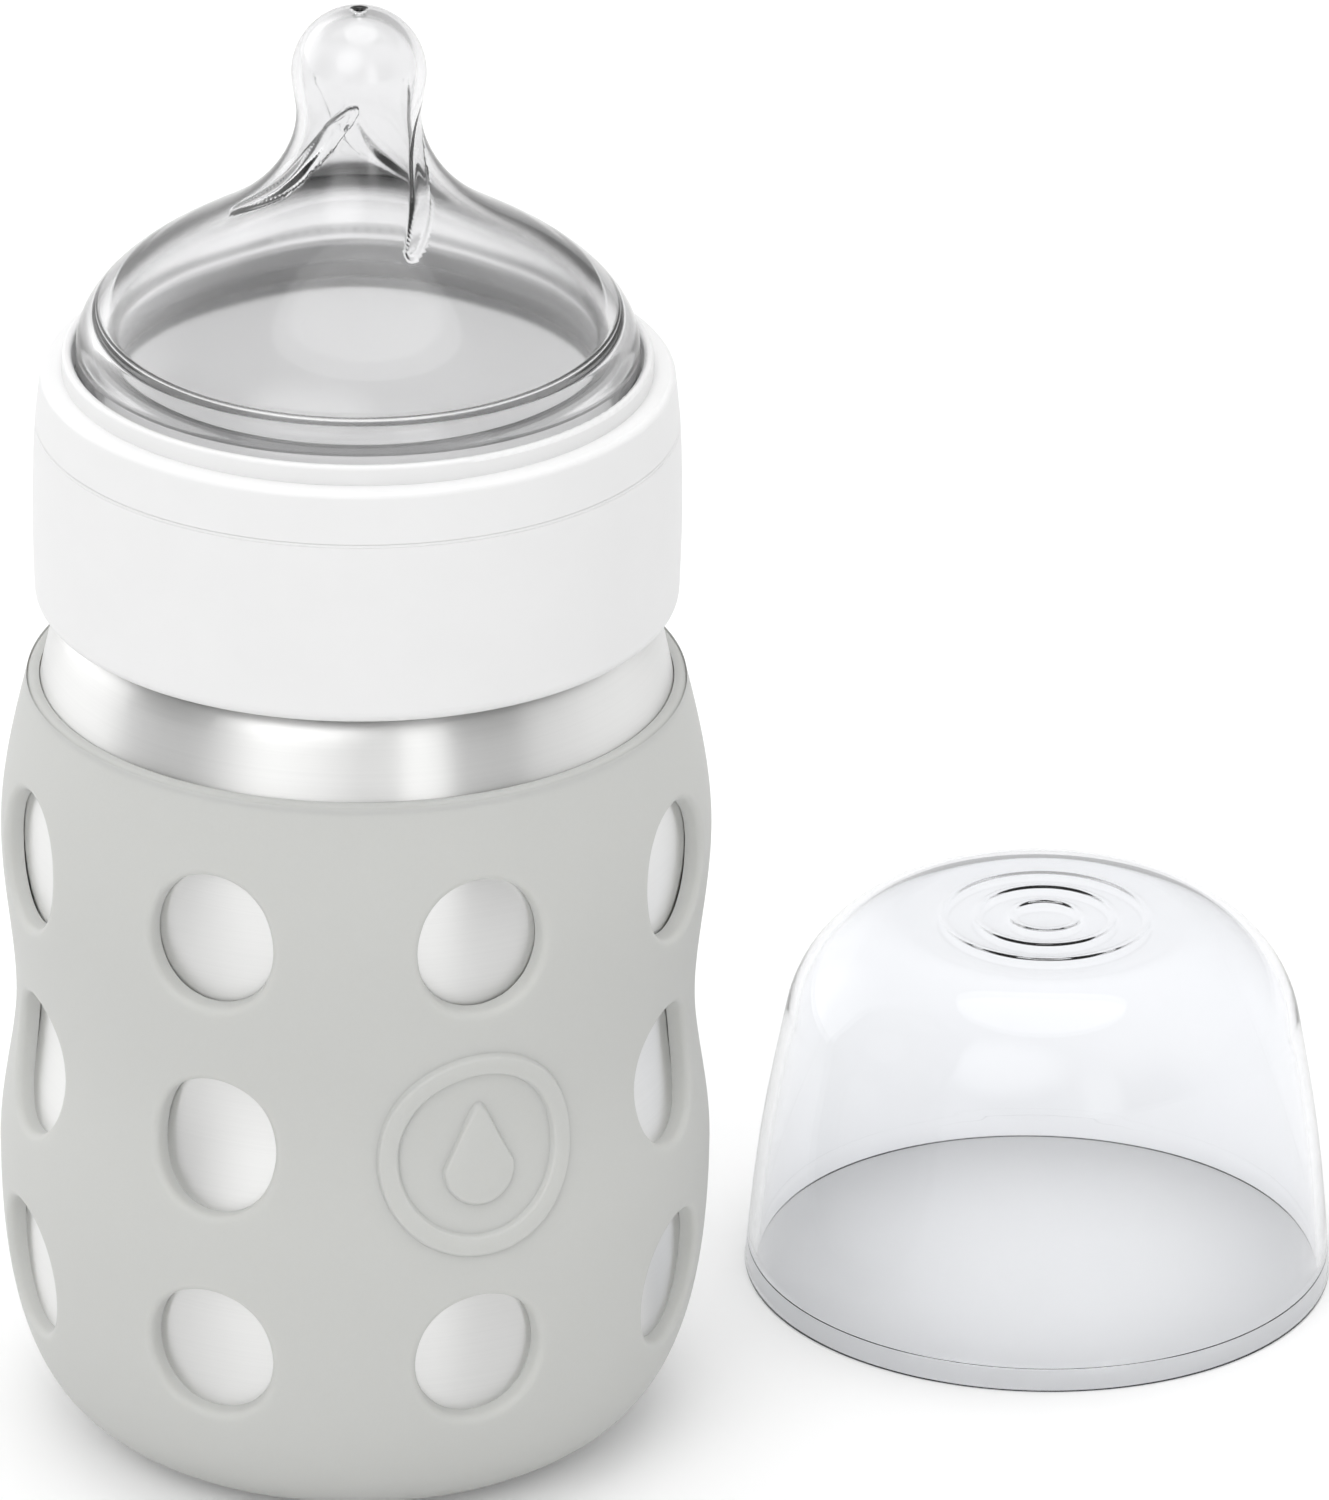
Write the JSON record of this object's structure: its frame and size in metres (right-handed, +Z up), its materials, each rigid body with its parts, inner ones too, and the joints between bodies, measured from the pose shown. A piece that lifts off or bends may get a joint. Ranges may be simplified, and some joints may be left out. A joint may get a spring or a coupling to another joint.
{
  "type": "baby bottle",
  "caption": "Wide-neck steel feeding bottle in a soft windowed sleeve, with a clear nipple under a white screw ring and a clear dome cap beside it.",
  "frame": {"origin": "centre of the flat underside of the sleeve, on the surface that the bottle stands on", "axes": "+Z up along the bottle's axis; -Y is the front with the emblem; the cap stands on the same surface towards +X"},
  "size_m": [0.1468, 0.0732, 0.1554],
  "materials": {
    "steel": "satin stainless steel",
    "sleeve_silicone": "matt warm grey silicone",
    "clear_silicone": "clear glossy silicone",
    "white_plastic": "satin white plastic",
    "clear_plastic": "clear glossy plastic"
  },
  "bodies": {
    "bottle": {"steel_bottle": "steel", "base_plate": "steel", "sleeve": "sleeve_silicone"},
    "nipple": {"nipple": "clear_silicone"},
    "ring": {"ring": "white_plastic"},
    "cap": {"cap": "clear_plastic"}
  },
  "joints": [
    {"name": "nipple_lift", "type": "slide", "parent": "bottle", "child": "nipple", "axis": [0, 0, 1], "range_m": [0, 0.009]},
    {"name": "ring_turn", "type": "hinge", "parent": "nipple", "child": "ring", "pos_m": [0, 0, 0.104], "axis": [0, 0, 1], "range_deg": [0, 720]},
    {"name": "cap_lift", "type": "slide", "parent": "bottle", "child": "cap", "axis": [0, 0, 1], "range_m": [0, 0.2]}
  ],
  "couplings": [
    {"joint": "nipple_lift", "follows": "ring_turn", "m_per_rad": 0.0007162}
  ]
}
